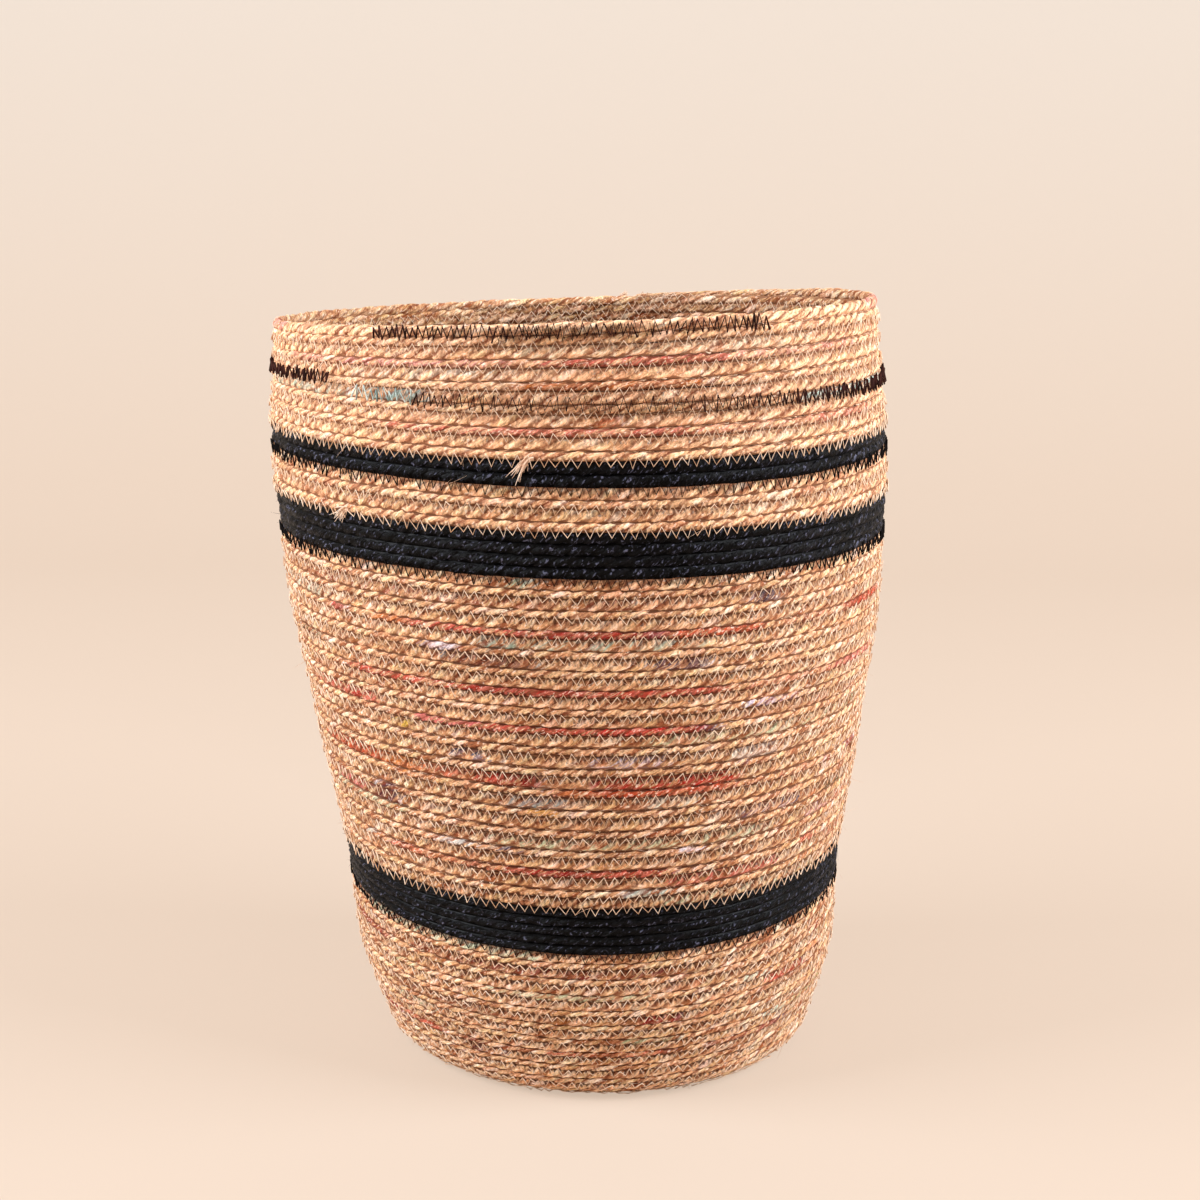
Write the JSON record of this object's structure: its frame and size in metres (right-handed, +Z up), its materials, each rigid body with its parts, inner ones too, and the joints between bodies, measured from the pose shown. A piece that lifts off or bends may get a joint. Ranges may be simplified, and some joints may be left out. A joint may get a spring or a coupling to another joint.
{
  "type": "tall coiled basket",
  "caption": "Tall open coiled basket of twisted plant-fibre cord sewn turn to turn, tapering to a flat base, with black stripes; holds laundry, plants or goods.",
  "frame": {"origin": "middle of the flat underside of the base, on the surface the basket stands on", "axes": "+Z up, -Y towards the front, which carries the dark rim stitching; the body leans a little towards -X"},
  "size_m": [0.328, 0.3269, 0.4113],
  "materials": {
    "natural_base_cord": "matt twisted plant-fibre cord",
    "natural_lower_cord": "matt twisted plant-fibre cord",
    "natural_middle_cord": "matt twisted plant-fibre cord with runs of dyed yarn",
    "natural_narrow_cord": "matt twisted plant-fibre cord",
    "natural_upper_cord": "matt twisted plant-fibre cord with runs of dyed yarn",
    "black_cord": "dyed cord with a faint sheen",
    "dark_thread": "matt sewing thread",
    "pale_thread": "matt sewing thread"
  },
  "bodies": {
    "root": {"base_coil": "natural_base_cord", "lower_wall_cord": "natural_lower_cord", "low_black_cord": "black_cord", "middle_wall_cord": "natural_middle_cord", "wide_black_cord": "black_cord", "narrow_wall_cord": "natural_narrow_cord", "thin_black_cord": "black_cord", "upper_wall_cord": "natural_upper_cord", "rim_dark_thread": "dark_thread", "upper_dark_thread": "dark_thread"}
  },
  "joints": []
}
